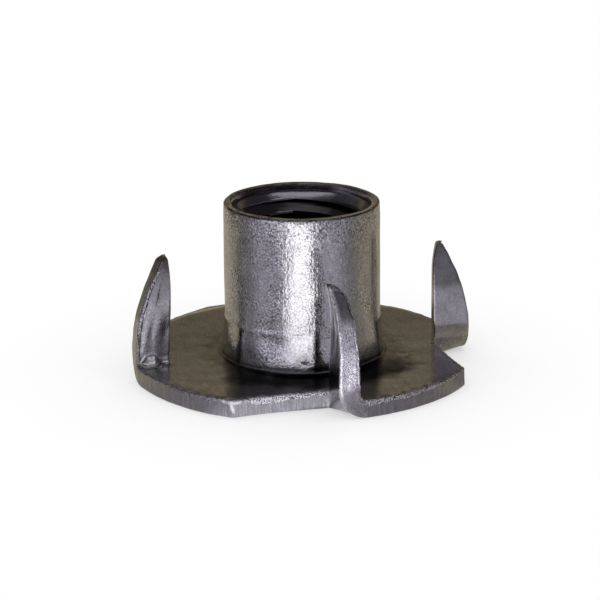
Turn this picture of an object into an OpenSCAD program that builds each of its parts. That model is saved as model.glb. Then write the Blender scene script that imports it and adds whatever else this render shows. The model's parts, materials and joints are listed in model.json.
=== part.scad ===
// Four-prong tee nut for wood: a threaded barrel drawn up from a round flange of sheet steel.
// Each prong is a tab cut from the flange's rim and bent up beside the barrel, and leaves a notch behind it.
// The origin is the centre of the flange's underside. +Z runs up the barrel, and the first prong is on +X.
// The thread's crests are modelled as a plain bore at the thread's minor diameter.

/* [Flange] */
// Outer diameter of the flange
flange_d = 22; // [20:0.5:30]
// Thickness of the sheet
sheet_t = 1.12; // [0.8:0.02:1.5]
// Radius rolled over the lower edge of the rim
rim_roll_r = 0.1; // [0.05:0.05:0.5]

/* [Barrel] */
// Height of the barrel's mouth above the flange's underside
barrel_h = 10.9; // [9:0.1:20]
// Outer diameter of the barrel
barrel_d = 9.9; // [9.2:0.1:12]
// Radius worn round the lip of the barrel
lip_r = 0.18; // [0.04:0.02:0.24]
// Height of the fuller foot of the barrel above the flange's underside
foot_h = 3.7; // [2.4:0.1:6]
// How far that foot stands out past the barrel
foot_step = 0.04; // [0.02:0.02:0.2]
// Fillet between the foot and the flange
foot_fillet_r = 0.35; // [0.1:0.05:0.8]

/* [Thread] */
// Nominal diameter of the thread
thread_d = 8; // [6:0.5:8]
// Pitch of the thread
thread_pitch = 1.25; // [0.5:0.25:1.5]
// Diameter of the smooth mouth at the lip
mouth_d = 8.7; // [8.2:0.1:9]
// Depth of the smooth mouth above the thread
mouth_depth = 0.9; // [0.4:0.1:2]
// Radius drawn round the lower end of the bore
entry_r = 1.1; // [0.4:0.1:1.4]

/* [Prongs] */
// Number of prongs
prong_count = 4; // [3:1:6]
// Height of a prong's tip above the flange's underside
prong_h = 7.75; // [6.5:0.25:10]
// Width of a prong at its widest
prong_w = 2.5; // [1.8:0.1:3]
// Width left at the tip
prong_tip_w = 0.15; // [0.05:0.05:0.6]
// Height at which a prong is widest
widest_h = 4.2; // [3:0.1:5]
// Height at which its tip starts to lean
lean_h = 5; // [3.5:0.25:5.5]
// How far the inner edge bellies out between the tip and the widest height
belly = 0.2; // [0.05:0.05:0.4]
// How much narrower a prong's front is than its back, by the slant that the shears left on its inner edge
shear_slant = 0.25; // [0.05:0.05:0.5]
// How far the middle of the tip leans over the notch
tip_lean = 0.5; // [0.3:0.05:1]
// Thickness at the root
root_t = 1.36; // [1:0.02:1.6]
// Thickness where the lean starts
waist_t = 1.1; // [0.9:0.02:1.3]
// Thickness at the tip
tip_t = 0.88; // [0.5:0.02:1]
// Radius outside the bend between the flange and a prong
bend_outer_r = 1.8; // [1.3:0.05:2.4]
// Radius inside that bend
bend_inner_r = 0.25; // [0.1:0.05:0.6]

/* [Hidden] */

$fn = 96;
// Facets of the large shallow arcs
arc_fn = 360;
// Overlap of shapes that join, and overshoot of cuts
lap = 0.05;
// Depth of a metric internal thread as a share of its pitch
thread_depth_share = 5 * sqrt(3) / 16;

flange_r = flange_d / 2;
barrel_r = barrel_d / 2;
foot_r = barrel_r + foot_step;
thread_r = thread_d / 2;
bore_r = thread_r - thread_depth_share * thread_pitch;
mouth_z = barrel_h - mouth_depth;

// Where the inner edge of a prong lies at its widest, and at its tip
cut_x = flange_r - prong_w;
tip_x = cut_x + belly;
// Height over which a prong leans
lean_len = prong_h - lean_h;
// Radius of the cut that frees a tab's inner edge
cut_r = arc_r(belly, prong_h - widest_h);
// Radius of a prong's outer edge, upright at the rim
edge_r = arc_r(flange_r - tip_x - prong_tip_w, prong_h - sheet_t);
// Radii of a prong's two faces where it leans
front_r = arc_r(tip_lean + (waist_t - tip_t) / 2, lean_len);
back_r = arc_r(tip_lean - (waist_t - tip_t) / 2, lean_len);
// Where the bend runs out into the flat flange, and the sheet that it takes up
bend_end_y = bend_outer_r - root_t / 2;
bend_len = PI / 2 * (bend_outer_r - sheet_t / 2);

// Radius of an arc that leaves its tangent by sag over a length
function arc_r(sag, len) = (sag * sag + len * len) / (2 * sag);
// Where the height z on a prong lay in the flat sheet before bending
function flat_y(z) = bend_end_y - bend_len - (z - bend_outer_r);

// Column inside the flange's rim, with its lower edge rolled over
module rim_column(h) {
    rotate_extrude() {
        translate([0, rim_roll_r]) square([flange_r, h - rim_roll_r]);
        square([flange_r - rim_roll_r, rim_roll_r + lap]);
        translate([flange_r - rim_roll_r, rim_roll_r]) circle(rim_roll_r);
    }
}

// Gap that one tab leaves in the flange
module notch() {
    translate([0, 0, -lap]) linear_extrude(sheet_t + 2 * lap)
        intersection() {
            translate([cut_x + cut_r, flat_y(widest_h)]) circle(cut_r, $fn = arc_fn);
            translate([0, -flange_r]) square([flange_r + lap, flange_r + bend_end_y]);
        }
}

module flange() {
    difference() {
        rim_column(sheet_t);
        at_prongs() notch();
    }
}

// Section through a prong's thickness, with Y across and Z up
module prong_section() {
    // Sheet and root, round the outside of the bend
    difference() {
        intersection() {
            translate([-root_t / 2, 0]) square([bend_outer_r, bend_outer_r]);
            translate([bend_end_y, bend_outer_r]) circle(bend_outer_r);
        }
        translate([root_t / 2, sheet_t]) bend_corner();
    }
    translate([bend_end_y - lap, 0]) square([2 * lap, sheet_t]);
    // Straight leg
    polygon([
        [-root_t / 2, bend_outer_r - lap], [root_t / 2, bend_outer_r - lap],
        [root_t / 2, bend_outer_r], [waist_t / 2, lean_h],
        [-waist_t / 2, lean_h], [-root_t / 2, bend_outer_r]
    ]);
    // Leaning tip
    intersection() {
        translate([-tip_lean - waist_t, lean_h - lap]) square([tip_lean + 2 * waist_t, lean_len + lap]);
        difference() {
            translate([waist_t / 2 - front_r, lean_h]) circle(front_r, $fn = arc_fn);
            translate([-waist_t / 2 - back_r, lean_h]) circle(back_r, $fn = arc_fn);
        }
    }
}

// Open corner inside the bend, from its lower left, with that corner rounded
module bend_corner() {
    translate([bend_inner_r, bend_inner_r]) circle(bend_inner_r);
    translate([bend_inner_r, 0]) square(bend_outer_r);
    translate([0, bend_inner_r]) square(bend_outer_r);
}

// Space above the flange between a prong's inner and outer edges, which both run through the sheet along Y
module blade() {
    half = tip_lean + root_t;
    slant = shear_slant * half / root_t;
    intersection() {
        translate([0, -half, sheet_t - lap]) cube([flange_r, 2 * half, prong_h]);
        translate([flange_r - edge_r, 0, sheet_t]) rotate([90, 0, 0])
            cylinder(r = edge_r, h = 2 * half, center = true, $fn = arc_fn);
        translate([cut_x + cut_r + shear_slant / 2, 0, widest_h]) rotate([90, 0, 0])
            cylinder(r1 = cut_r - slant, r2 = cut_r + slant, h = 2 * half, center = true, $fn = arc_fn);
    }
}

// Space in the flange's thickness where the sheet turns up into a prong
module root() {
    translate([cut_x - lap, -bend_outer_r, 0]) cube([prong_w + 2 * lap, 2 * bend_outer_r, sheet_t]);
}

module prong() {
    intersection() {
        rotate([90, 0, 90]) linear_extrude(flange_r + lap) prong_section();
        rim_column(prong_h + lap);
        union() {
            root();
            blade();
        }
    }
}

module at_prongs() {
    for (i = [0 : prong_count - 1])
        rotate(i * 360 / prong_count) children();
}

module barrel() {
    rotate_extrude() {
        square([barrel_r, barrel_h - lip_r]);
        square([barrel_r - lip_r, barrel_h]);
        translate([barrel_r - lip_r, barrel_h - lip_r]) circle(lip_r);
        polygon([[0, 0], [foot_r, 0], [foot_r, foot_h], [barrel_r, foot_h + foot_step], [0, foot_h + foot_step]]);
        difference() {
            translate([foot_r - lap, sheet_t - lap]) square(foot_fillet_r + lap);
            translate([foot_r + foot_fillet_r, sheet_t + foot_fillet_r]) circle(foot_fillet_r);
        }
    }
}

// Thread bore, its rounded lower end and its smooth mouth
module bore() {
    translate([0, 0, -lap]) cylinder(r = bore_r, h = barrel_h + 2 * lap);
    rotate_extrude() {
        difference() {
            translate([0, -lap]) square([bore_r + entry_r, entry_r + lap]);
            translate([bore_r + entry_r, entry_r]) circle(entry_r);
        }
        polygon([
            [0, mouth_z - (thread_r - bore_r)], [bore_r, mouth_z - (thread_r - bore_r)],
            [thread_r, mouth_z], [mouth_d / 2, barrel_h],
            [mouth_d / 2, barrel_h + lap], [0, barrel_h + lap]
        ]);
    }
}

module tee_nut() {
    color([0.62, 0.6, 0.58])
        difference() {
            union() {
                flange();
                barrel();
                at_prongs() prong();
            }
            bore();
        }
}

tee_nut();
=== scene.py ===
"""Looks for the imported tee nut: one pressed-steel skin with thread, burrs and wear, on a plain pale floor.

Lengths are in millimetres until a mesh is made, and then in metres. Tables give angles in degrees.
"""

import json
from math import acos, asin, atan2, ceil, cos, degrees, exp, pi, radians, sin, sqrt

import bpy
from mathutils import Matrix, Vector, noise
from mathutils.geometry import delaunay_2d_cdt


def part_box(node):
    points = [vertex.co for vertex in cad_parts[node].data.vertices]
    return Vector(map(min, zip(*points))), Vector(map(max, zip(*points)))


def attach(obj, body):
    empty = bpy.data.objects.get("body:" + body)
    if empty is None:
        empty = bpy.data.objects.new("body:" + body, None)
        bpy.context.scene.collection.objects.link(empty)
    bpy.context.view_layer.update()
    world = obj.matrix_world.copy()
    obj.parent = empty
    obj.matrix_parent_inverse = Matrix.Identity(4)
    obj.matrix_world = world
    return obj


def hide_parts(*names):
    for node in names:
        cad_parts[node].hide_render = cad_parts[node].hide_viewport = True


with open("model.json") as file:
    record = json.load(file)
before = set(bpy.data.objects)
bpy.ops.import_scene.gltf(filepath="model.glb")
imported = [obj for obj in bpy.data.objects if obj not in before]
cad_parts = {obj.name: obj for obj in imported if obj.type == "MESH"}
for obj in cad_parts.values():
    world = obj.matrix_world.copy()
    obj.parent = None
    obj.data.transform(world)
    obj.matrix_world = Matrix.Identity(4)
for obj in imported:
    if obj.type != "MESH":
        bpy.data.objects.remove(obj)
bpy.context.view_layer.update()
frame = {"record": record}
noise.seed_set(2)       # without a seed, the noise starts from the clock

MM = 0.001

# ---- sizes from the frame
NODE = "tee_nut"
LOW, HIGH = (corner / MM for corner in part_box(NODE))
MOUNTS = {mount["name"]: mount for mount in frame["record"]["mounts"]}
FLANGE_R = HIGH.x
TOP = HIGH.z
SHEET = MOUNTS["seat"]["pos_m"][2] / MM
BARREL_R = MOUNTS["barrel"]["dims"]["r_mm"]
CREST_R = MOUNTS["thread"]["dims"]["r_mm"]

# ---- barrel and bore
LIP_R = 0.09
FOOT_H = 3.7
FOOT_STEP = 0.04
FOOT_FILLET = 0.35
FOOT_R = BARREL_R + FOOT_STEP
THREAD_R = 4.0
PITCH = 1.25
MOUTH_R = 4.35
MOUTH_Z = TOP - 0.9
ENTRY_R = 1.1
JOIN_R = 6.6            # where the turned skin meets the flange's flat skin

# ---- prongs
PRONG_H = 7.75
PRONG_W = 2.5
WIDEST_H = 4.2
LEAN_H = 5.0
BELLY = 0.2
SHEAR_SLANT = 0.25
TIP_LEAN = 0.5
ROOT_T = 1.36
WAIST_T = 1.1
TIP_T = 0.88
BEND_R = 1.8
BEND_FILLET = 0.25
ROLL_R = 0.1            # lower edge of the sheet, rolled over by the shears
BREAK_R = 0.09          # upper edge of the sheet


def arc_r(sag, length):
    """Radius of an arc that leaves its tangent by sag over a length."""
    return (sag * sag + length * length) / (2 * sag)


CUT_X = FLANGE_R - PRONG_W
CUT_R = arc_r(BELLY, PRONG_H - WIDEST_H)
BEND_END = BEND_R - ROOT_T / 2
BEND_LEN = pi / 2 * (BEND_R - SHEET / 2)
NOTCH_MID = BEND_END - BEND_LEN - (WIDEST_H - BEND_R)

COLUMNS = 240           # columns round the barrel
PERIMETER_STEP = 0.11   # spacing of columns along the sheared edges


def mix(a, b, t):
    return a + (b - a) * t


def grey(level):
    return (level, level, level)


def polar(r, angle, z=0.0):
    """A point by its distance from the axis, its angle and its height."""
    return Vector((r * cos(angle), r * sin(angle), z))


def smooth(low, high, x):
    """0 below low, 1 above high, with a smooth step between."""
    t = min(1.0, max(0.0, (x - low) / (high - low)))
    return t * t * (3 - 2 * t)


def steps(low, high, spacing):
    """Evenly spaced values from low to high, both included."""
    count = max(1, ceil(abs(high - low) / spacing - 1e-6))
    return [mix(low, high, i / count) for i in range(count + 1)]


# ---- the skin under construction
MARKS = ("cut", "run", "depth")     # on a sheared edge or not, distance along it, and share of the way up it


class Skin:
    """Vertices in millimetres, faces, and what the steel's shader reads at each vertex."""

    def __init__(self):
        self.points = []
        self.faces = []
        self.marks = []

    def add(self, point, cut=0.0, run=0.0, depth=0.0):
        self.points.append(Vector(point))
        self.marks.append((cut, run, depth))
        return len(self.points) - 1

    def face(self, *corners):
        """A face without the corners that coincide, if three are left."""
        kept = [c for i, c in enumerate(corners) if c != corners[i - 1]]
        if len(set(kept)) > 2:
            self.faces.append(kept)

    def turned(self, rows):
        """Quads between closed rows of as many vertices, outward if the rows run anticlockwise and up."""
        for lower, upper in zip(rows, rows[1:]):
            for i in range(len(lower)):
                j = (i + 1) % len(lower)
                self.face(lower[i], lower[j], upper[j], upper[i])

    def disc(self, outer, inner, height, spacing, flip=False):
        """Flat skin between two loops of vertices, over a grid of points between them."""
        flat = [self.points[i].to_2d() for i in outer + inner]
        edges = [(i, (i + 1) % len(outer)) for i in range(len(outer))]
        edges += [(len(outer) + i, len(outer) + (i + 1) % len(inner)) for i in range(len(inner))]
        outline, room = flat[:len(outer)], 0.6 * spacing
        grid = [p for p in grid_points(FLANGE_R, spacing) if roomy(p, outline, JOIN_R, room)]
        made, _, tris, sources, _, _ = delaunay_2d_cdt(flat + grid, edges, [], 1, 1e-7)
        known = outer + inner
        index = []
        for point, source in zip(made, sources):
            if source and source[0] < len(known):
                index.append(known[source[0]])
            else:
                index.append(self.add((point.x, point.y, height)))
        for tri in tris:
            centre = sum((made[i] for i in tri), Vector((0, 0))) / 3
            if centre.length > JOIN_R * cos(pi / COLUMNS) - 1e-4 or not all(
                    made[i].length < JOIN_R + 1e-3 for i in tri):
                corners = [index[i] for i in tri]
                self.face(*(reversed(corners) if flip else corners))


def grid_points(reach, spacing):
    """Points of a triangular grid out to a reach."""
    rise = spacing * sqrt(3) / 2
    rows = int(reach / rise)
    found = []
    for row in range(-rows, rows + 1):
        shift = (row % 2) / 2
        for column in range(-rows, rows + 1):
            point = Vector(((column + shift) * spacing, row * rise))
            if point.length < reach:
                found.append(point)
    return found


def roomy(point, outline, hole_r, room):
    """Whether a point lies between outline and hole, with room to both."""
    if point.length < hole_r + room:
        return False
    inside = False
    for i, b in enumerate(outline):
        a = outline[i - 1]
        if (a - point).length < room:
            return False
        if (a.y > point.y) != (b.y > point.y):
            if point.x < a.x + (point.y - a.y) / (b.y - a.y) * (b.x - a.x):
                inside = not inside
    return inside


# ---- barrel
def turned_row(skin, radius, height):
    """One row of vertices round the axis. Radius and height may depend on the angle."""
    row = []
    for column in range(COLUMNS):
        angle = 2 * pi * column / COLUMNS
        r = radius(angle) if callable(radius) else radius
        z = height(angle) if callable(height) else height
        row.append(skin.add(polar(r, angle, z)))
    return row


FLARE_SLOPE = 0.1       # how steeply the foot spreads towards the flange
FLARE_Z = 3.55
FLARE_EASE = 0.6        # height over which the spread sets in
SMALL_FILLET = 0.12
CROWN = 0.045           # how far the barrel draws in towards its lip
CROWN_H = 1.3


def foot_radius(z):
    """Radius of the foot, upright above and spreading towards the flange."""
    deep = max(0.0, FLARE_Z - z)
    return FOOT_R + FLARE_SLOPE * (deep - FLARE_EASE * (1 - exp(-deep / FLARE_EASE)))


def mouth_edge(angle):
    """Radius that rounds the mouth's edge, softer on two sides of it."""
    return 0.05 + 0.2 * smooth(0.5, 0.95, abs(cos(angle + radians(15))))


def barrel_profile():
    """Radius and height up the outside, from the flange to the mouth's edge."""
    low_r = foot_radius(SHEET + SMALL_FILLET)
    profile = [(r, SHEET) for r in steps(JOIN_R, low_r + SMALL_FILLET, 0.2)]
    for a in map(radians, (15, 30, 45, 60, 75, 87)):
        profile.append((low_r + SMALL_FILLET * (1 - sin(a)), SHEET + SMALL_FILLET * (1 - cos(a))))
    for z in steps(SHEET + SMALL_FILLET + 0.1, FLARE_Z, 0.12):
        profile.append((foot_radius(z), z))
    for z in steps(FLARE_Z, FOOT_H + 0.3, 0.1)[1:]:
        profile.append((mix(FOOT_R, BARREL_R, smooth(FOOT_H - 0.3, FOOT_H + 0.25, z)), z))
    for z in steps(FOOT_H + 0.3, TOP - LIP_R, 0.17)[1:]:
        profile.append((BARREL_R - CROWN * max(0.0, 1 - (TOP - z) / CROWN_H) ** 2, z))
    lip_in = BARREL_R - CROWN - LIP_R
    for a in map(radians, (18, 36, 54, 72, 90)):
        profile.append((BARREL_R - CROWN - LIP_R * (1 - cos(a)), TOP - LIP_R * (1 - sin(a))))
    for share in steps(0, 1, 0.2)[1:]:
        profile.append((lambda angle, t=share: mix(lip_in, MOUTH_R + mouth_edge(angle), t), TOP))
    for a in map(radians, (22, 45, 67, 90)):
        profile.append((lambda angle, t=1 - sin(a): MOUTH_R + mouth_edge(angle) * t,
                        lambda angle, t=1 - cos(a): TOP - mouth_edge(angle) * t))
    return profile


MOUTH_KNEE = 0.42       # depth at which the mouth's steep wall turns in towards the thread
MOUTH_DRAFT = 0.04      # how far it has drawn in by there


def mouth_radius(z):
    """Radius of the mouth's wall, steep at the lip and sloping in above the thread."""
    deep = TOP - z
    whole = TOP - MOUTH_Z
    steep = MOUTH_DRAFT * min(1.0, deep / MOUTH_KNEE)
    share = max(0.0, (deep - MOUTH_KNEE) / (whole - MOUTH_KNEE))
    slope = (MOUTH_R - MOUTH_DRAFT - THREAD_R) * share ** 1.25
    return MOUTH_R - steep - slope


# Shares of the pitch at which a crest ends and a root starts and ends, and what a flank takes up
CREST_END, ROOT_START, ROOT_END, FLANK = 0.25, 0.5625, 0.6875, 0.3125


def thread_radius(angle, z):
    """Radius of the metric thread form on its helix."""
    phase = (z / PITCH - angle / (2 * pi)) % 1.0
    if phase < CREST_END:
        return CREST_R
    if phase < ROOT_START:
        return mix(CREST_R, THREAD_R, (phase - CREST_END) / FLANK)
    if phase < ROOT_END:
        return THREAD_R
    return mix(THREAD_R, CREST_R, (phase - ROOT_END) / FLANK)


# Shares of the pitch at which the thread has a row of vertices
THREAD_PHASES = (0, 0.125, 0.25, 0.328, 0.406, 0.484, 0.5625, 0.625, 0.6875, 0.766, 0.844, 0.922)


def bore_radius(angle, z):
    """Radius of the bore: the thread, opened by the entry below and the mouth above."""
    entry = 0.0
    if z < ENTRY_R:
        entry = CREST_R + ENTRY_R - sqrt(ENTRY_R ** 2 - (ENTRY_R - z) ** 2)
    lead_in = THREAD_R - (MOUTH_Z - z)
    mouth = mouth_radius(z) if z > MOUTH_Z else 0.0
    return max(thread_radius(angle, z) if z < MOUTH_Z else 0.0, entry, min(lead_in, THREAD_R), mouth)


def bore_rows(skin, low, high):
    """The threaded wall, in quads that follow the helix. Returns its lowest and highest rows."""
    made = {}

    def vertex(column, z):
        z = min(high, max(low, z))
        key = (column % COLUMNS, round(z, 5))
        if key not in made:
            angle = 2 * pi * key[0] / COLUMNS
            made[key] = skin.add(polar(bore_radius(angle, z), angle, z))
        return made[key]

    first, last = int(low / PITCH) - 1, ceil(high / PITCH)
    starts = [(turn + phase) * PITCH for turn in range(first, last) for phase in THREAD_PHASES]
    for z0, z1 in zip(starts, starts[1:]):
        for column in range(COLUMNS):
            rise, next_rise = PITCH * column / COLUMNS, PITCH * (column + 1) / COLUMNS
            skin.face(vertex(column, z1 + rise), vertex(column + 1, z1 + next_rise),
                      vertex(column + 1, z0 + next_rise), vertex(column, z0 + rise))
    return [vertex(c, low) for c in range(COLUMNS)], [vertex(c, high) for c in range(COLUMNS)]


def barrel(skin):
    """The turned skin: up the barrel, over its lip, down the bore and out under the flange.
    Returns the rows where it meets the flange's upper and lower faces."""
    rows = [turned_row(skin, r, z) for r, z in barrel_profile()]
    skin.turned(rows)
    wall_top = MOUTH_Z + 0.1
    thread_low, thread_high = bore_rows(skin, 0.5, wall_top)
    inside = [rows[-1]]
    for share in steps(0, 1, 0.09)[1:-1]:
        def level(angle, t=share):
            return mix(TOP - mouth_edge(angle), wall_top, t)
        inside.append(turned_row(skin, lambda angle, level=level: mouth_radius(level(angle)), level))
    inside.append(thread_high)
    skin.turned(inside)
    under = [thread_low]
    under += [turned_row(skin, bore_radius(0, z), z) for z in (0.35, 0.22, 0.12, 0.05, 0.01)]
    under += [turned_row(skin, r, 0) for r in steps(CREST_R + ENTRY_R, JOIN_R, 0.4)]
    skin.turned(under)
    return rows[0], under[-1]


# ---- sheared edges and prongs
# Rows up the sheared edge of the sheet: height as a share of its thickness, and how far in it lies
EDGE_ROWS = [(ROLL_R * (1 - cos(a)) / SHEET, ROLL_R * (1 - sin(a)))
             for a in map(radians, (0, 30, 60, 90))]
EDGE_ROWS += [(share, 0.0) for share in steps(ROLL_R / SHEET, 1 - BREAK_R / SHEET, 0.11)[1:]]
EDGE_ROWS += [(1 - BREAK_R * (1 - sin(a)) / SHEET, BREAK_R * (1 - cos(a)))
              for a in map(radians, (30, 60, 90))]
LAST = len(EDGE_ROWS) - 1


def spin(point, prong):
    """A point from a prong's own frame, with X outward and Y along the rim, to the part's frame."""
    return Matrix.Rotation(radians(prong * 90), 3, "Z") @ Vector(point)


def notch_x(y):
    return CUT_X + CUT_R - sqrt(CUT_R ** 2 - (y - NOTCH_MID) ** 2)


def notch_start():
    """Where the notch's cut meets the rim."""
    y = -FLANGE_R / 2
    for _ in range(40):
        y = -sqrt(FLANGE_R ** 2 - notch_x(y) ** 2)
    return y


# Where the rim bulges or falls back: middle and half-width in degrees, with the height between them
RIM_FLATS = ((23, -0.33, 8), (108, 0.40, 8), (-62, -0.06, 9), (205, -0.08, 10))
CORNER_R = 0.2          # the corner between the rim and a notch, worn round


def rim_r(angle):
    """Radius of the rim, out of round where the blank was pressed unevenly."""
    radius = FLANGE_R
    for middle, height, width in RIM_FLATS:
        off = (degrees(angle) - middle + 180) % 360 - 180
        radius += height * exp(-(off / width) ** 2 / 2)
    return radius


def edge_columns(prong):
    """Points and outward normals along the sheared edge, from one prong's bend to the next one's back."""
    start = asin(BEND_END / FLANGE_R)
    corner_y = notch_start()
    end = pi / 2 + atan2(corner_y, notch_x(corner_y))
    found = []
    for angle in steps(start, end - CORNER_R / FLANGE_R, PERIMETER_STEP / FLANGE_R):
        radius = rim_r(angle + radians(90 * prong))
        found.append((polar(radius, angle), polar(1, angle)))
    along = []
    for y in steps(corner_y + CORNER_R, -ROOT_T / 2, PERIMETER_STEP):
        slope = (y - NOTCH_MID) / CUT_R
        along.append((spin((notch_x(y), y, 0), 1), spin(Vector((1, -slope, 0)).normalized(), 1)))
    corner = polar(FLANGE_R, end)
    (first, first_way), (last, last_way) = found[-1], along[0]
    for t in (0.2, 0.4, 0.6, 0.8):
        point = first * (1 - t) ** 2 + corner * 2 * t * (1 - t) + last * t ** 2
        found.append((point, (first_way * (1 - t) + last_way * t).normalized()))
    found += along
    # the last column lies in the corner with the prong's back, and both roll away from it
    found[-1] = (found[-1][0], spin((1, -1, 0), 1))
    return [(spin(point, prong), spin(normal, prong)) for point, normal in found]


# How deep the tear reaches down each edge, from one prong to the next: share of the way, share of the sheet
TEARS = (((0, 0.2), (1, 0.2)), ((0, 0.2), (1, 0.2)),
         ((0, 0.08), (0.35, 0.16), (0.66, 0.2), (0.7, 0.42), (0.85, 0.34), (1, 0.2)),
         ((0, 0.34), (0.25, 0.26), (0.45, 0.12), (0.7, 0.04), (1, 0.12)))


def tear_depth(prong, share):
    """How far down the edge the tear reaches at a share of the way to the next prong."""
    before = TEARS[prong][0]
    for after in TEARS[prong][1:]:
        if share <= after[0]:
            return mix(before[1], after[1], (share - before[0]) / (after[0] - before[0]))
        before = after
    return before[1]


def edge_wall(skin, prong):
    """The sheared edge between two prongs. Returns its columns, each a list of vertices from below up."""
    columns = []
    run = 0.0
    before = None
    places = edge_columns(prong)
    for number, (point, normal) in enumerate(places):
        deep = tear_depth(prong, number / (len(places) - 1))
        run += (point - before).length if before else 0.0
        before = point
        columns.append([
            skin.add(point - normal * inset + Vector((0, 0, share * SHEET)), 1.0, run, share + deep)
            for share, inset in EDGE_ROWS
        ])
    for left, right in zip(columns, columns[1:]):
        for row in range(LAST):
            skin.face(left[row], right[row], right[row + 1], left[row + 1])
    return columns


FILLET_TURNS = (0, 15, 30, 45, 60, 75, 90)
WIDE = 18               # columns across a prong's back and front
PRONG_RUN = 20.0        # keeps the shear marks of one prong apart from the next one's


def bend_radius(across):
    """Radius outside the bend: tight beside the flange, where the cut holds it, and full at the rim."""
    return mix(ROLL_R, BEND_R, min(1.0, across * 1.08) ** 0.85)


def bend_share(height_share):
    """Share of the innermost column's length at a share of the bend's height."""
    z = height_share * BEND_R
    arc = pi / 2 * ROLL_R
    total = arc + BEND_R - ROLL_R
    if z >= ROLL_R:
        return (arc + z - ROLL_R) / total
    return acos(1 - z / ROLL_R) * ROLL_R / total


def half_thickness(z):
    """Half of a prong's thickness between the bend and the lean."""
    return mix(ROOT_T, WAIST_T, (z - BEND_R) / (LEAN_H - BEND_R)) / 2


def rounded(share):
    """0 at 0 and 1 at 1, as a quarter circle that ends upright."""
    return 1 - sqrt(max(0.0, 1 - share * share))


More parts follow.
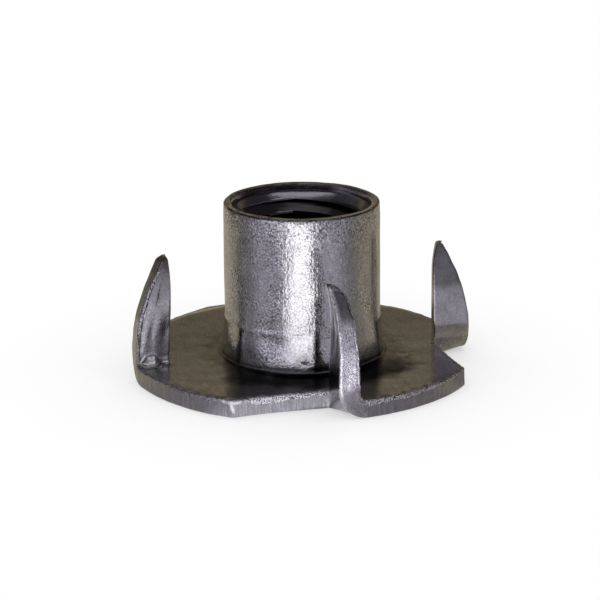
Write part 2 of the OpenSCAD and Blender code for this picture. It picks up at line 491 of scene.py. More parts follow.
class Prong:
    """One prong in its own frame. Its outer edge sweeps in by sag, the later the higher the power. It grows
    wider than its notch by grow, and twist turns its tip. bulge is its back's above the bend, creased the
    strength of its front's relief, and facet the height of the facet at the front's foot. The tip rounds
    over nib across its width and over slope through the sheet; upright moves its inner edge out."""

    def __init__(self, index, height, sag, power, grow, twist=0.0, bulge=0.03, creased=0.3, nib=0.32,
                 slope=0.42, upright=0.0, facet=0.08):
        self.index, self.height = index, height
        self.sag, self.power, self.grow, self.twist = sag, power, grow, radians(twist)
        self.bulge, self.creased, self.facet = bulge, creased, facet
        self.nib, self.slope, self.upright = nib, slope, upright
        self.rows = [SHEET + BEND_FILLET * i / 6 for i in range(7)]
        self.rows += steps(SHEET + BEND_FILLET, BEND_R, 0.11)[1:]
        self.rows += steps(BEND_R, LEAN_H, 0.12)[1:]
        self.rows += steps(LEAN_H, height - slope, 0.12)[1:]
        self.rows += [height - slope * (1 - sin(radians(a))) for a in range(8, 90, 8)]
        lean = height - LEAN_H
        self.front_r = arc_r(TIP_LEAN + (WAIST_T - TIP_T) / 2, lean)
        self.back_r = arc_r(TIP_LEAN - (WAIST_T - TIP_T) / 2, lean)

    def back_y(self, z):
        """Y on the back above the bend."""
        if z <= LEAN_H:
            return -half_thickness(z)
        return -WAIST_T / 2 - self.back_r + sqrt(self.back_r ** 2 - (z - LEAN_H) ** 2)

    def back_at(self, row, across):
        """Y and Z on the back. Rows up to LAST go through the sheet's thickness."""
        if row > LAST:
            z = self.rows[row - LAST]
            if z >= BEND_R:
                return self.back_y(z), z
            share = mix(SHEET, BEND_R, (z - SHEET) / (BEND_R - SHEET)) / BEND_R
        else:
            share = EDGE_ROWS[row][0] * SHEET / BEND_R
        # the same share of each column's own length, from the underside to the top of the bend
        radius = bend_radius(across)
        arc = pi / 2 * radius
        flat = arc / (arc + BEND_R - radius)
        first = bend_share(share)
        if first <= flat:
            a = first / flat * pi / 2
            return -ROOT_T / 2 + radius * (1 - sin(a)), radius * (1 - cos(a))
        return -ROOT_T / 2, mix(radius, BEND_R, (first - flat) / (1 - flat))

    def front_at(self, row):
        """Y and Z on the front. Rows up to LAST lie on the flange's top."""
        if row <= LAST:
            return mix(BEND_END, ROOT_T / 2 + BEND_FILLET, row / LAST), SHEET
        if row <= LAST + 6:
            a = radians(FILLET_TURNS[row - LAST])
            return ROOT_T / 2 + BEND_FILLET * (1 - sin(a)), SHEET + BEND_FILLET * (1 - cos(a))
        z = self.rows[row - LAST]
        if z <= BEND_R:
            return ROOT_T / 2, z
        if z <= LEAN_H:
            return half_thickness(z), z
        y = WAIST_T / 2 - self.front_r + sqrt(self.front_r ** 2 - (z - LEAN_H) ** 2)
        nib = rounded(max(0.0, 1 - (self.height - z) / self.slope))
        return mix(y, self.back_y(z) + 0.1, nib), z

    def inner_x(self, z, through):
        """X of the inner edge; through is 0 at the back and 1 at the front."""
        root = notch_x(-ROOT_T / 2)
        x = CUT_X + (z - WIDEST_H) ** 2 / (2 * CUT_R) - self.grow * smooth(SHEET, WIDEST_H, z)
        x -= self.upright * smooth(5.0, self.height, z)
        return mix(root, x, smooth(SHEET, SHEET + 0.8, z)) + SHEAR_SLANT * through

    def outer_x(self, y, z):
        """X of the outer edge."""
        rise = max(0.0, (z - SHEET) / (self.height - self.nib / 2 - SHEET))
        return min(FLANGE_R - self.sag * rise ** self.power, sqrt(FLANGE_R ** 2 - y * y))

    def point(self, row, across, through, inset_in, inset_out):
        """A point on the skin: across goes from the inner to the outer edge, through from back to front."""
        back, front = self.back_at(row, across), self.front_at(row)
        y, z = mix(back[0], front[0], through), mix(back[1], front[1], through)
        inner = self.inner_x(z, through) + inset_in
        outer = self.outer_x(y, z) - inset_out
        nib = rounded(max(0.0, 1 - (self.height - z) / self.nib))
        spare = (outer - inner - 0.1) * nib
        x = mix(inner + 0.1 * spare, outer - 0.9 * spare, across)
        y -= self.bulge * smooth(1.2, 2.1, z) * (1 - smooth(2.1, 4.4, z)) * (1 - through)
        y += self.crease(across, z) * through * min(1.0, row / LAST)
        turn = self.twist * max(0.0, (z - 1.5) / (self.height - 2.2)) ** 2
        mid_x, mid_y = mix(inner, outer, 0.35), mix(back[0], front[0], 0.3)
        off_x, off_y = x - mid_x, y - mid_y
        c, s = cos(turn), sin(turn)
        return spin((mid_x + off_x * c - off_y * s, mid_y + off_x * s + off_y * c, z), self.index)

    def crease(self, across, z):
        """Relief of the front: a ridge and a furrow, an inner edge that falls away, a facet at the foot."""
        along = smooth(SHEET + 0.4, SHEET + 1.6, z) * (1 - smooth(self.height - 2.0, self.height - 0.8, z))
        off = across - (0.86 - 0.045 * (z - SHEET))
        ridge = 0.022 * exp(-(off / 0.1) ** 2) - 0.012 * exp(-((off + 0.2) / 0.09) ** 2)
        fall = 0.18 * smooth(0.5, 0.0, across) * smooth(SHEET, SHEET + 0.5, z) * (1 - smooth(3.0, 6.0, z))
        facet = self.facet * smooth(0.05, 0.5, across) * (1 - 0.75 * smooth(0.7, 1.0, across)) - (z - SHEET)
        return (ridge * along - fall) * self.creased + 0.65 * max(0.0, facet)

    def build(self, skin, rim, corner):
        """rim is the edge column at the bend, and corner the one at the back; the edge walls share both.
        Returns the prong's loops on the flange's top and underside, from the corner to the rim."""
        made = {}

        def vertex(row, a, b):
            """a is the column from the inner edge out, and b the edge row from the back to the front."""
            if row <= LAST and a == 0 and b == 0:
                return corner[row]
            if row == 0 and a == WIDE:
                return rim[b]
            key = (row, a, b)
            if key not in made:
                share, inset = EDGE_ROWS[b]
                inset_in = inset * smooth(0, 4, row - LAST)
                inset_out = inset * (1 + 0.6 * smooth(LAST, LAST + 8, row))
                point = self.point(row, a / WIDE, share, inset_in, inset_out)
                run = point.z + PRONG_RUN * self.index
                made[key] = skin.add(point, float(a == WIDE), run, share + 0.08)
            return made[key]

        def quad(row, left, right):
            """A face between two columns, from a row to the next."""
            skin.face(vertex(row, *left), vertex(row, *right),
                      vertex(row + 1, *right), vertex(row + 1, *left))

        top = LAST + len(self.rows) - 1
        for row in range(top):
            for a in range(WIDE):
                quad(row, (a, 0), (a + 1, 0))
            for b in range(LAST):
                quad(row, (WIDE, b), (WIDE, b + 1))
            if row >= LAST:
                for a in range(WIDE):
                    quad(row, (a + 1, LAST), (a, LAST))
                for b in range(LAST):
                    quad(row, (0, b + 1), (0, b))
        for a in range(WIDE):
            for b in range(LAST):
                skin.face(vertex(top, a, b), vertex(top, a + 1, b),
                          vertex(top, a + 1, b + 1), vertex(top, a, b + 1))
        upper = [vertex(LAST, 0, b) for b in range(1, LAST + 1)]
        upper += [vertex(LAST, a, LAST) for a in range(1, WIDE + 1)]
        upper += [vertex(row, WIDE, LAST) for row in range(LAST - 1, 0, -1)]
        lower = [vertex(0, a, 0) for a in range(1, WIDE)]
        return upper, lower


# the right, back, left and front prong
PRONGS = [
    Prong(0, height=7.72, sag=1.93, power=2.25, grow=0.0, bulge=0.14, nib=0.22, upright=0.04),
    Prong(1, height=7.7, sag=1.6, power=2.2, grow=0.05),
    Prong(2, height=7.85, sag=1.78, power=2.5, grow=0.03, twist=15, creased=0.9, nib=0.22, slope=0.2,
          upright=0.1, facet=0.7),
    Prong(3, height=8.05, sag=1.6, power=2.2, grow=0.05, slope=0.85),
]


# ---- unevenness and wear
# Dents low on the barrel: direction, height, half-width round the barrel, half-height, tilt and depth
DENTS = ((-16.5, 3.52, 0.55, 0.11, 0, 0.035), (-45, 3.2, 0.06, 0.3, 25, 0.03),
         (-31, 2.75, 0.07, 0.3, -10, 0.02), (-13.6, 1.65, 0.2, 0.2, 15, 0.02), (2, 1.75, 0.2, 0.3, 0, -0.03))

# Burrs that the shears left: at the corner of the front notch, and where two prongs leave the rim
CORNER_BURR = Vector((-6.8, -8.6, 0.95))
LEFT_BURR = Vector((-10.95, -1.05, 1.15))
FRONT_BURR = Vector((0.8, -10.95, 1.5))
# Middles of single marks in the steel's paint; the one at NOTCH_END is a painted highlight
SMUDGE = Vector((5.4, -3.4, 1.12))
BARREL_LINE = Vector((3.64, -3.35, 0))
NOTCH_END = Vector((-0.72, -8.52, 0.6))
FOOT_SMUDGE = Vector((-1.3, -4.95, 1.88))


def dent_depth(point):
    """How far the dents push a point of the barrel's outside inward."""
    depth = 0.0
    facing = degrees(atan2(point.x, -point.y))
    for direction, height, wide, tall, tilt, push in DENTS:
        along = radians(facing - direction) * BARREL_R
        up = point.z - height
        c, s = cos(radians(tilt)), sin(radians(tilt))
        depth += push * exp(-(((along * c + up * s) / wide) ** 2 + ((up * c - along * s) / tall) ** 2))
    return depth


def drift(point, across, up, start):
    """Smooth noise as a vector, of one scale across the nut and one up it."""
    return noise.noise_vector(Vector([p * k + start for p, k in zip(point, (across, across, up))]))


def uneven(skin):
    """Gives the skin the broad waves and torn edges of a pressed and tumbled part."""
    for i, point in enumerate(skin.points):
        cut, _, depth = skin.marks[i]
        reach = point.to_2d().length
        outward = Vector((point.x, point.y, 0)) / reach
        move = drift(point, 0.55, 0.4, 3.0) * 0.022 + drift(point, 1.5, 0.8, 11.0) * 0.009
        if reach > 7.5 and point.z > SHEET + 0.3:
            move += drift(point, 1.3, 0.45, 23.0) * 0.04 * smooth(SHEET + 0.3, SHEET + 1.2, point.z)
        if cut:
            torn = smooth(0.7, 1.05, depth) * mix(0.25, 1.0, smooth(3.0, -1.0, point.y))
            move += drift(point, 3.5, 3.5, 31.0) * 0.045 * torn
            move += drift(point, 7.0, 7.0, 33.0) * 0.015 * torn
            move += drift(point, 1.2, 1.2, 37.0) * 0.03
        if reach < 5.2 and point.z > TOP - 0.22:
            ragged = 0.1 + 0.9 * smooth(-1.0, 3.5, -point.x) * smooth(3.0, 0.0, point.y)
            move += drift(point, 3.2, 3.2, 41.0) * 0.045 * ragged
        if (point - CORNER_BURR).length < 0.6:
            push = 0.06 * (1 - smooth(0.1, 0.6, (point - CORNER_BURR).length))
            move += outward * push
        if cut:
            move.y += 0.26 * exp(-((point - FRONT_BURR).length / 0.34) ** 2)
        if reach > 10.4 and SHEET - 0.2 < point.z < SHEET + 0.01:
            move.z -= 0.04 * smooth(10.5, 11.0, reach) * smooth(1.5, 4.0, point.y)
        if BARREL_R - 0.1 < reach < FOOT_R + 0.3 and SHEET + 0.05 < point.z < 4.5:
            move -= outward * dent_depth(point)
        if point.z < 0.3:
            move.z = 0.0
        skin.points[i] = Vector([min(max(p, low), high) for p, low, high in zip(point + move, LOW, HIGH)])


# ---- the whole nut
def tee_nut_skin():
    skin = Skin()
    upper_ring, lower_ring = barrel(skin)
    walls = [edge_wall(skin, index) for index in range(4)]
    upper_loop, lower_loop = [], []
    for index, wall in enumerate(walls):
        following = (index + 1) % 4
        upper, lower = PRONGS[following].build(skin, walls[following][0], wall[-1])
        upper_loop += [column[-1] for column in wall] + upper
        lower_loop += [column[0] for column in wall] + lower
    skin.disc(upper_loop, upper_ring, SHEET, 0.4)
    skin.disc(lower_loop, lower_ring, 0.0, 0.5, flip=True)
    uneven(skin)
    return skin


def new_object(name, data):
    made = bpy.data.objects.new(name, data)
    bpy.context.scene.collection.objects.link(made)
    return made


def mesh_object(name, skin):
    mesh = bpy.data.meshes.new(name)
    mesh.from_pydata([p * MM for p in skin.points], [], skin.faces)
    for slot, title in enumerate(MARKS):
        layer = mesh.attributes.new(title, "FLOAT", "POINT")
        layer.data.foreach_set("value", [mark[slot] for mark in skin.marks])
    mesh.validate()
    mesh.shade_smooth()
    mesh.set_sharp_from_angle(angle=radians(40))
    return new_object(name, mesh)


# ---- camera
CAMERA_TURN = radians(-15)     # the camera's azimuth; the studio is laid out around it


def camera():
    elevation, roll = radians(16.9), radians(-0.49)
    aim = Vector((-0.19, -0.13, 4.41)) * MM
    distance = 165.7 * MM
    back = Vector((sin(CAMERA_TURN) * cos(elevation), -cos(CAMERA_TURN) * cos(elevation),
                   sin(elevation)))
    data = bpy.data.cameras.new("camera")
    data.lens = 156.3
    data.sensor_width = 36
    data.clip_start = 0.01
    data.clip_end = 5
    made = new_object("camera", data)
    made.rotation_mode = "QUATERNION"
    made.location = aim + back * distance
    turn = (-back).to_track_quat("-Z", "Y")
    made.rotation_quaternion = turn @ Matrix.Rotation(roll, 3, "Z").to_quaternion()
    bpy.context.scene.camera = made


# ---- shader nodes
class Graph:
    """Nodes of one material or world."""

    def __init__(self, owner):
        owner.use_nodes = True
        self.tree = owner.node_tree
        self.tree.nodes.clear()

    def feed(self, socket, value):
        """Links an output to a socket, or sets the socket to a number or a colour."""
        if isinstance(value, bpy.types.NodeSocket):
            self.tree.links.new(value, socket)
        else:
            socket.default_value = (*value, 1.0) if socket.type == "RGBA" else value

    def node(self, kind, settings=None, **inputs):
        """A node with its settings and its inputs, whose names have _ for a space."""
        made = self.tree.nodes.new("ShaderNode" + kind)
        for name, value in (settings or {}).items():
            setattr(made, name, value)
        for name, value in inputs.items():
            self.feed(made.inputs[name.replace("_", " ")], value)
        return made

    def math(self, operation, *values):
        made = self.node("Math", {"operation": operation})
        for socket, value in zip(made.inputs, values):
            self.feed(socket, value)
        return made.outputs[0]

    def chained(self, operation, values):
        """All the values through one operation of two, from the first on."""
        whole = values[0]
        for value in values[1:]:
            whole = self.math(operation, whole, value)
        return whole

    def product(self, *values):
        return self.chained("MULTIPLY", values)

    def total(self, *values):
        return self.chained("ADD", values)

    def most(self, *values):
        return self.chained("MAXIMUM", values)

    def scaled(self, value, factor, offset):
        """The value times a factor, and an offset added."""
        return self.math("MULTIPLY_ADD", value, factor, offset)

    def size(self, value):
        return self.math("ABSOLUTE", value)

    def step(self, value, low, high, out_low=0.0, out_high=1.0):
        """The value through a smooth step between low and high."""
        return self.node("MapRange", {"interpolation_type": "SMOOTHSTEP"}, Value=value, From_Min=low,
                         From_Max=high, To_Min=out_low, To_Max=out_high).outputs["Result"]

    def blend(self, share, a, b):
        """A colour between a and b."""
        made = self.node("Mix", {"data_type": "RGBA"})
        # the sockets for a plain share and for colours
        for socket, value in ((made.inputs[0], share), (made.inputs[6], a), (made.inputs[7], b)):
            self.feed(socket, value)
        return made.outputs[2]

    def ramp(self, value, stops):
        """A colour that runs through stops of position and colour."""
        made = self.node("ValToRGB", Fac=value)
        elements = made.color_ramp.elements
        while len(elements) < len(stops):
            elements.new(0.5)
        for element, (position, colour) in zip(elements, stops):
            element.position = position
            element.color = (*colour, 1.0)
        return made.outputs["Color"]

    def noise(self, vector, scale, detail=2.0, roughness=0.5):
        """Noise of one scale, or of a scale along each axis."""
        if isinstance(scale, tuple):
            vector, scale = self.stretched(vector, scale), 1.0
        made = self.node("TexNoise", Vector=vector, Scale=scale, Detail=detail, Roughness=roughness)
        return made.outputs["Fac"]

    def stretched(self, vector, scale):
        return self.node("Mapping", Vector=vector, Scale=scale).outputs["Vector"]

    def axes(self, vector):
        return self.node("SeparateXYZ", Vector=vector).outputs[:3]

    def reach(self, x, y):
        """Distance from the axis."""
        return self.math("SQRT", self.total(self.product(x, x), self.product(y, y)))

    def bearing(self, x, y):
        """Angle to the right of the direction of -Y."""
        return self.math("ARCTAN2", x, self.product(y, -1.0))

    def close(self, shader, kind="OutputMaterial"):
        self.feed(self.node(kind).inputs["Surface"], shader.outputs[0])


# ---- studio
TENT_R = 400.0
APRON_R = 17.0


def compass(graph, colours):
    """A colour by the direction seen from the nut, from rows of degrees and a linear colour."""
    x, y, _ = graph.axes(graph.node("TexCoord").outputs["Object"])
    share = graph.scaled(graph.bearing(x, y), 0.5 / pi, 0.5)
    return graph.ramp(share, [(0.5 + turn / 360, colour) for turn, *colour in colours])


# What surrounds the nut, ring by ring: degrees to the right of the camera, and a linear colour each.
# The floor close under the rim, dimmer than farther off: a painted shadow of the nut
NEAR_RING = ((-180, 0.4, 0.36, 0.28), (-76, 0.4, 0.36, 0.28), (-56, 0.3, 0.285, 0.28),
             (-36, 0.31, 0.29, 0.34), (-22, 0.8, 0.78, 0.88), (6, 0.8, 0.78, 0.88), (20, 0.3, 0.28, 0.33),
             (44, 0.26, 0.24, 0.26), (54, 0.27, 0.255, 0.25), (62, 0.33, 0.305, 0.265),
             (71, 0.24, 0.23, 0.23), (84, 0.21, 0.2, 0.2), (104, 0.36, 0.33, 0.26), (180, 0.36, 0.33, 0.26))
# Below the horizon, farther off, with one bright panel in front
FAR_RING = ((-180, 0.47, 0.42, 0.32), (-140, 0.45, 0.4, 0.32), (-104, 0.29, 0.27, 0.25),
            (-92, 0.17, 0.165, 0.17), (-84, 0.19, 0.18, 0.2), (-67, 0.37, 0.355, 0.43),
            (-57, 0.4, 0.385, 0.47), (-48, 0.31, 0.295, 0.36), (-40, 0.27, 0.26, 0.31),
            (-30, 0.36, 0.345, 0.41), (-24, 0.62, 0.6, 0.7), (-16, 2.1, 2.08, 2.2), (15, 2.1, 2.08, 2.2),
            (21, 0.38, 0.36, 0.43), (29, 0.47, 0.45, 0.53), (38, 0.46, 0.44, 0.52), (49, 0.46, 0.44, 0.52),
            (60, 0.36, 0.345, 0.4), (78, 0.175, 0.17, 0.18), (92, 0.31, 0.28, 0.235),
            (106, 0.37, 0.335, 0.27), (122, 0.33, 0.3, 0.24), (180, 0.45, 0.4, 0.3))
# At the horizon, where the panel runs out to both sides
LEVEL_RING = ((-180, 0.36, 0.32, 0.24), (-106, 0.11, 0.11, 0.11), (-92, 0.17, 0.165, 0.18),
              (-80, 0.26, 0.25, 0.3), (-69, 0.4, 0.385, 0.47), (-56, 0.64, 0.62, 0.76),
              (-40, 0.82, 0.8, 0.96), (-30, 0.98, 0.95, 1.1), (-22, 1.15, 1.12, 1.28), (6, 1.2, 1.17, 1.3),
              (13, 0.66, 0.64, 0.74), (24, 0.44, 0.43, 0.5), (60, 0.3, 0.285, 0.33), (96, 0.22, 0.2, 0.18),
              (180, 0.36, 0.32, 0.24))
# Above the horizon, and higher up
UPPER_RING = ((-180, 0.24, 0.198, 0.134), (-150, 0.21, 0.174, 0.12), (-120, 0.1, 0.09, 0.07),
              (-90, 0.09, 0.085, 0.09), (-60, 0.09, 0.086, 0.105), (-20, 0.12, 0.115, 0.14),
              (8, 0.12, 0.115, 0.14), (28, 0.28, 0.265, 0.32), (60, 0.12, 0.11, 0.12),
              (120, 0.1, 0.09, 0.07), (150, 0.21, 0.174, 0.12), (180, 0.24, 0.198, 0.134))
HIGH_RING = ((-180, 0.05, 0.048, 0.055), (-40, 0.05, 0.048, 0.055), (-12, 0.16, 0.155, 0.19),
             (24, 0.24, 0.23, 0.28), (60, 0.05, 0.048, 0.055), (180, 0.05, 0.048, 0.055))
DARK = (0.05, 0.048, 0.055)
ZENITH = (0.36, 0.35, 0.35)


def stage_mesh(name, points, faces):
    mesh = bpy.data.meshes.new(name)
    mesh.from_pydata([Vector(p) * MM for p in points], [], faces)
    made = new_object(name, mesh)
    return made


def turned(rows, columns):
    """Points and faces of a surface of revolution through rows of radius and height."""
    points = [polar(r, 2 * pi * c / columns, z) for r, z in rows for c in range(columns)]
    faces = []
    for low in range(0, (len(rows) - 1) * columns, columns):
        high = low + columns
        for c in range(columns):
            d = (c + 1) % columns
            faces.append((low + c, low + d, high + d, high + c))
    return points, faces


def only_reflected(made):
    """Leaves an object to be seen in the steel alone: it lights, shades and hides nothing."""
    made.visible_camera = made.visible_diffuse = made.visible_transmission = False
    made.visible_volume_scatter = made.visible_shadow = False
    made.rotation_euler.z = CAMERA_TURN


def glow_paint(name, mesh):
    """A material for a stage piece that glows without lighting, and its graph."""
    paint = bpy.data.materials.new(name)
    paint.cycles.emission_sampling = "NONE"
    mesh.materials.append(paint)
    return Graph(paint)


def distances(graph):
    """Distance from the axis, and angle above the horizon, in a stage piece's own frame."""
    x, y, z = graph.axes(graph.node("TexCoord").outputs["Object"])
    reach = graph.reach(x, y)
    return reach, graph.math("ARCTAN2", z, reach)


def tent():
    """A wide light tent that only the steel sees: a bright panel low in front, dark sides, a grey top."""
    rows = [(TENT_R * cos(a) + 0.01, TENT_R * sin(a)) for a in map(radians, range(-90, 91, 6))]
    made = stage_mesh("tent", *turned(rows, 96))
    only_reflected(made)
    graph = glow_paint("tent_paint", made.data)
    _, rise = distances(graph)
    colour = compass(graph, FAR_RING)
    # the angles above the horizon between which each colour takes over from the one below
    for start, end, above in (
            (-13, -6, compass(graph, LEVEL_RING)), (5, 13, compass(graph, UPPER_RING)),
            (20, 26, compass(graph, HIGH_RING)), (34, 42, DARK), (62, 76, ZENITH)):
        colour = graph.blend(graph.step(rise, radians(start), radians(end)), colour, above)
    graph.close(graph.node("Emission", Color=colour, Strength=1.0))


def apron():
    """The floor close round the nut as the steel sees it, which fades out into the tent."""
    made = stage_mesh("apron", *turned([(r, -0.01) for r in (0.01, 5, 10, 13, APRON_R)], 96))
    only_reflected(made)
    graph = glow_paint("apron_paint", made.data)
    reach, _ = distances(graph)
    # painted shadow of the nut on the floor as the steel sees it, darkest under the flange
    under = (0.03, 0.028, 0.03)
    near = graph.blend(graph.step(reach, 8.0 * MM, 9.4 * MM), under, compass(graph, NEAR_RING))
    both = graph.node("MixShader")
    graph.feed(both.inputs[0], graph.step(reach, 14 * MM, (APRON_R - 0.2) * MM))
    graph.feed(both.inputs[1], graph.node("Emission", Color=near, Strength=1.0).outputs[0])
    graph.feed(both.inputs[2], graph.node("BsdfTransparent", Color=(1, 1, 1)).outputs[0])
    graph.close(both)


def floor():
    """A plain pale floor that keeps the nut's shadow and runs out into the white background."""
    reach, drop = 3000.0, -0.02
    corners = [(x * reach, y * reach, drop) for x, y in ((-1, -1), (1, -1), (1, 1), (-1, 1))]
    made = stage_mesh("floor", corners, [(0, 1, 2, 3)])
    made.visible_glossy = False
    graph = glow_paint("floor_paint", made.data)
    distance, _ = distances(graph)
    both = graph.node("MixShader")
    graph.feed(both.inputs[0], graph.step(distance, 8 * MM, 24 * MM, 0.45, 1.0))
    graph.feed(both.inputs[1], graph.node("BsdfDiffuse", Color=(0.9, 0.9, 0.9)).outputs[0])
    graph.feed(both.inputs[2], graph.node("Emission", Color=(1, 1, 1), Strength=1.0).outputs[0])
    graph.close(both)


def lamp():
    """One soft overhead lamp, a little in front and to the left."""
    data = bpy.data.lights.new("softbox", "AREA")
    data.shape = "RECTANGLE"
    data.size = 0.42
    data.size_y = 0.07
    data.energy = 0.077
    data.color = (0.93, 0.9, 1.0)
    made = new_object("softbox", data)
    away, lift = 0.22, radians(57)
    ahead = Vector((0, -away * cos(lift), away * sin(lift)))
    made.location = Matrix.Rotation(CAMERA_TURN, 3, "Z") @ ahead
    made.rotation_mode = "QUATERNION"
    made.rotation_quaternion = (-made.location).to_track_quat("-Z", "Y")


def white_world():
    world = bpy.data.worlds.new("world")
    graph = Graph(world)
    graph.close(graph.node("Background", Color=(1, 1, 1), Strength=1.0), "OutputWorld")
    bpy.context.scene.world = world


# ---- steel
def steel():
    """Bare pressed steel with a trace of oil: drawn barrel, pressed faces, and edges sheared and torn."""
    made = bpy.data.materials.new("steel")
    graph = Graph(made)
    step, blend, ramp, speckle = graph.step, graph.blend, graph.ramp, graph.noise
    product, total, most, scaled, size = graph.product, graph.total, graph.most, graph.scaled, graph.size
    place = graph.stretched(graph.node("TexCoord").outputs["Object"], (1 / MM, 1 / MM, 1 / MM))
    cut, run, depth = (graph.node("Attribute", {"attribute_name": mark}).outputs["Fac"] for mark in MARKS)
    x, y, z = graph.axes(place)
    reach = graph.reach(x, y)

    def spot(centre, near, far, scale=(1, 1, 1)):
        """1 up to near from the centre, and 0 beyond far."""
        away = graph.node("VectorMath", {"operation": "DISTANCE"})
        graph.feed(away.inputs[0], graph.stretched(place, scale))
        away.inputs[1].default_value = [c * k for c, k in zip(centre, scale)]
        return step(away.outputs["Value"], far, near)

    # regions of the nut
    on_barrel = product(step(reach, 5.6, 5.1), step(reach, 4.55, 4.7))
    bore_shade = product(step(reach, 4.12, 4.02), step(z, 10.0, 9.9))
    mouth_shade = product(step(reach, 4.42, 4.36), step(z, 10.89, 10.85), step(size(x), 4.0, 2.6))
    land = product(step(reach, 5.0, 4.9), step(z, 10.80, 10.86))
    flat = product(step(reach, 5.6, 6.0), step(z, 1.22, 1.14))
    far_edge_highlight = product(step(reach, 10.5, 10.75), step(y, 2.0, 4.0), step(z, 0.9, 1.0))
    on_prong = product(step(reach, 7.6, 8.0), step(z, 1.2, 1.6))
    ahead = step(y, -2.0, -6.0)

    grain = speckle(place, 7.0, 1.0, 0.6)
    specks = speckle(place, (9.0, 9.0, 8.0), 0.0)
    fine = speckle(place, 13.0, 1.0)
    drawn = speckle(place, (5.0, 5.0, 0.25), 4.0, 0.6)
    dapple = speckle(place, 1.1, 4.0, 0.6)
    tear = speckle(place, 6.0, 3.0, 0.75)

    # along the sheared edges: fine upright scores below, torn grain above a wavering line
    along = graph.node("CombineXYZ", X=run, Y=depth).outputs[0]
    scores = speckle(along, (11.0, 0.6, 1.0), 2.0, 0.7)
    line = scaled(speckle(along, (0.9, 0.0, 1.0), 3.0, 0.6), 0.4, 0.8)
    torn = product(step(graph.math("SUBTRACT", depth, line), -0.02, 0.03), cut)
    sheared = graph.math("SUBTRACT", cut, torn)
    beside = graph.math("MINIMUM", size(x), size(y))
    rim_only = product(sheared, step(z, 1.25, 1.1), step(beside, 1.0, 1.15))
    # the front prong's outer edge, and that edge's border towards its back
    facing = product(step(y, -9.0, -9.4), step(cut, 0.5, 0.9), step(z, 1.5, 2.2))
    border = product(facing, step(depth, 0.42, 0.2))

    # cracks across the barrel's lip
    ringwise = graph.node("CombineXYZ", X=graph.bearing(x, y), Y=reach, Z=z).outputs[0]
    cracks = size(graph.math("SUBTRACT", speckle(ringwise, (3.0, 4.5, 3.0), 3.0, 0.6), 0.5))
    cracks = product(land, step(x, 2.5, -1.0), step(cracks, 0.05, 0.02))

    # height in millimetres
    barrel_grain = product(on_barrel, step(z, 3.1, 4.0, 0.2, 1.0))
    relief = graph.node("Bump", Distance=MM, Strength=1.0, Height=total(
        product(grain, scaled(barrel_grain, 0.015, 0.004)),
        product(drawn, scaled(barrel_grain, 0.014, 0.002)),
        product(dapple, scaled(barrel_grain, 0.022, 0.006)),
        product(on_prong, step(x, -7.0, -8.5, 0.012, 0.02), speckle(place, (2.8, 2.8, 1.6), 4.0, 0.6)),
        product(on_prong, step(x, 7.0, 8.0, 0.0, 0.035), speckle(place, 0.9, 2.0)),
        product(facing, step(depth, 0.95, 0.85), 0.025, tear),
        product(tear, spot(LEFT_BURR, 0.1, 0.5), 0.2),
        product(rim_only, 0.02, scores),
        product(cracks, -0.05),
        product(torn, 0.07, tear)))

    # painted shade round the foot and farther out in front of it, and in the seam there; and two smudges
    front_shade = scaled(dapple, -2.4, scaled(ahead, -1.9, total(reach, 1.2)))
    front_shade = product(step(front_shade, 6.9, 5.2), step(z, 1.7, 1.2), scaled(ahead, 0.4, 0.4))
    low = total(z, product(fine, 0.3), product(ahead, -0.2))
    seam_shade = product(step(scaled(ahead, -0.8, reach), 5.6, 5.3), step(low, 1.56, 1.42))
    seam_shade = product(seam_shade, scaled(ahead, 0.4, 0.6), 0.93)
    smudge = product(spot(SMUDGE, 0.4, 2.2), step(dapple, 0.42, 0.52))
    foot_smudge = product(spot(FOOT_SMUDGE, 0.2, 0.75), step(fine, 0.72, 0.42))
    shade_and_smudges = most(seam_shade, product(most(smudge, foot_smudge), 0.45), front_shade)

    # pits and painted glints of the skin, worst high on the barrel, a dark line down it and one round its
    # lip
    speckled_high = most(step(z, 8.2, 10.2), step(speckle(place, 0.45, 1.0), 0.54, 0.66))
    rough_skin = total(product(on_barrel, scaled(speckled_high, 0.5, 0.1)), product(flat, 0.15), 0.2)
    pits = product(step(specks, 0.40, 0.31), rough_skin)
    painted_glints = product(step(specks, 0.60, 0.70), rough_skin)
    stripe = product(step(z, 5.2, 6.4), step(z, 9.4, 8.6), spot(BARREL_LINE, 0.06, 0.2, (1, 1, 0)), 0.6)
    lip_line = product(step(reach, 4.74, 4.8), step(reach, 4.9, 4.86), step(z, 10.78, 10.84),
                       step(dapple, 0.42, 0.5), step(y, 1.0, -1.0))

    # darker prong tips, painted shade high on the right prong, and painted shade on the front prong's side
    # by its notch
    upper = scaled(step(y, -8.0, -9.0), 1.1, z)
    outer_fold = product(step(cut, 0.3, 0.9), step(depth, 0.75, 0.95))
    dark_tip = product(step(reach, 7.6, 8.0), step(upper, 6.6, 8.0),
                       most(step(x, -6.0, -5.0), outer_fold), graph.math("SUBTRACT", 1.0, border))
    right_prong_shade = product(step(x, 7.8, 8.2), step(scaled(dapple, 1.2, z), 4.6, 5.6))
    shaded = product(step(y, -8.2, -8.5), step(cut, 0.2, 0.05), step(z, 6.0, 5.0),
                     step(x, -0.2, -0.45), 0.6)
    notch_end_highlight = product(spot(NOTCH_END, 0.05, 0.12, (1, 1, 0)), step(cut, 0.5, 0.9))

    # painted highlights on the burrs: a line up the corner with a blob on it, and one beside the front prong
    wander = scaled(speckle(place, 3.0, 2.0), 0.5, -0.25)
    spine = step(size(total(scaled(z, 0.12, x), wander, 6.66)), 0.14, 0.06)
    spine = product(spine, spot(CORNER_BURR, 0.5, 0.75), step(y, -7.8, -8.2))
    blob = step(scaled(fine, -0.5, spot(CORNER_BURR, 0.3, 0.9)), 0.2, 0.3)
    burr_highlights = most(spine, product(blob, step(z, 0.8, 0.95)), spot(FRONT_BURR, 0.3, 0.6))

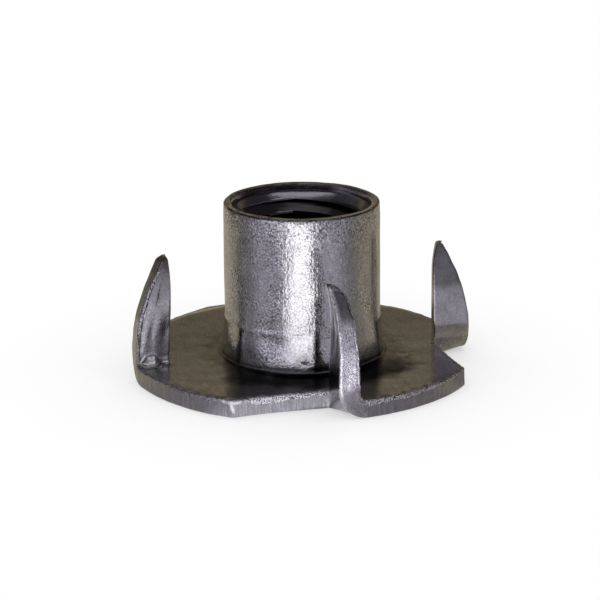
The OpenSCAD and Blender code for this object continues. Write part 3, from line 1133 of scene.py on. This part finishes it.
    mottle = ramp(speckle(place, (2.2, 0.75, 2.0), 5.0, 0.7),
                  [(0.36, (0.34, 0.35, 0.33)), (0.5, (0.50, 0.50, 0.49)), (0.64, (0.62, 0.61, 0.60))])
    streaks = ramp(scores,
                   [(0.35, (0.27, 0.265, 0.27)), (0.5, (0.37, 0.365, 0.37)), (0.66, (0.5, 0.49, 0.51))])
    # torn grain: dark specks, and painted glints; darker towards the left
    torn_grain_and_glints = ramp(fine, [(0.36, grey(0.08)), (0.45, (0.55, 0.54, 0.55)), (0.52, (0.99, 0.98, 0.99))])
    torn_grain_and_glints = blend(product(step(x, -5.0, -7.5), 0.35), torn_grain_and_glints, grey(0.06))
    edge_highlight = ramp(fine, [(0.36, (0.40, 0.39, 0.40)), (0.45, (0.90, 0.89, 0.91)), (0.52, (1.0, 0.99, 1.0))])
    tone = ramp(dapple, [(0.3, (0.44, 0.43, 0.42)), (0.5, (0.52, 0.51, 0.51)), (0.7, (0.58, 0.57, 0.575))])
    # what lies over the plain tone, from the lowest layer up
    layers = (
        (product(flat, 0.7), mottle),
        (product(flat, step(y, -8.0, 6.0), 0.6), grey(0.12)),
        # painted highlight along the flange's far rim
        (far_edge_highlight, (1.0, 0.99, 0.9)),
        (pits, grey(0.10)),
        (painted_glints, (0.85, 0.84, 0.85)),
        (stripe, (0.12, 0.11, 0.10)),
        # painted shade at the foot and in front of it, with the smudges
        (shade_and_smudges, (0.05, 0.05, 0.052)),
        (product(rim_only, 0.7), streaks),
        (torn, torn_grain_and_glints),
        (product(land, 0.45), (0.18, 0.175, 0.165)),
        (cracks, grey(0.05)),
        (lip_line, grey(0.05)),
        # painted shade inside the mouth, darkest high on its wall
        (mouth_shade, blend(step(z, 10.32, 10.46), (0.30, 0.29, 0.32), (0.07, 0.066, 0.07))),
        # painted shade down the bore
        (bore_shade, (0.13, 0.125, 0.13)),
        # painted highlight on the front prong's outer edge
        (product(facing, most(step(z, 6.4, 5.5), border)), edge_highlight),
        (shaded, (0.12, 0.115, 0.13)),
        # painted highlight up the end of the notch's cut face
        (notch_end_highlight, (0.98, 0.97, 0.99)),
        # darker prong tips, and painted shade high on the right prong
        (product(most(dark_tip, right_prong_shade), 0.72), (0.10, 0.10, 0.105)),
        (burr_highlights, (0.97, 0.96, 0.98)),
        (spot(LEFT_BURR, 0.2, 0.4), torn_grain_and_glints))
    for share, colour in layers:
        tone = blend(share, tone, colour)
    gloss = total(scaled(dapple, 0.12, scaled(on_barrel, -0.06, 0.14)), product(torn, 0.12))
    # the painted shade and the smudges dull the glance
    glance = blend(shade_and_smudges, (1, 1, 1), grey(0.25))
    graph.close(graph.node("BsdfPrincipled", Base_Color=tone, Metallic=1.0, Roughness=gloss,
                           Specular_Tint=glance, Normal=relief.outputs[0]))
    return made


camera()
tent()
apron()
floor()
lamp()
white_world()
nut = mesh_object("steel_skin", tee_nut_skin())
nut.data.materials.append(steel())
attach(nut, "root")
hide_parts(NODE)

bpy.context.scene.view_settings.view_transform = "Standard"
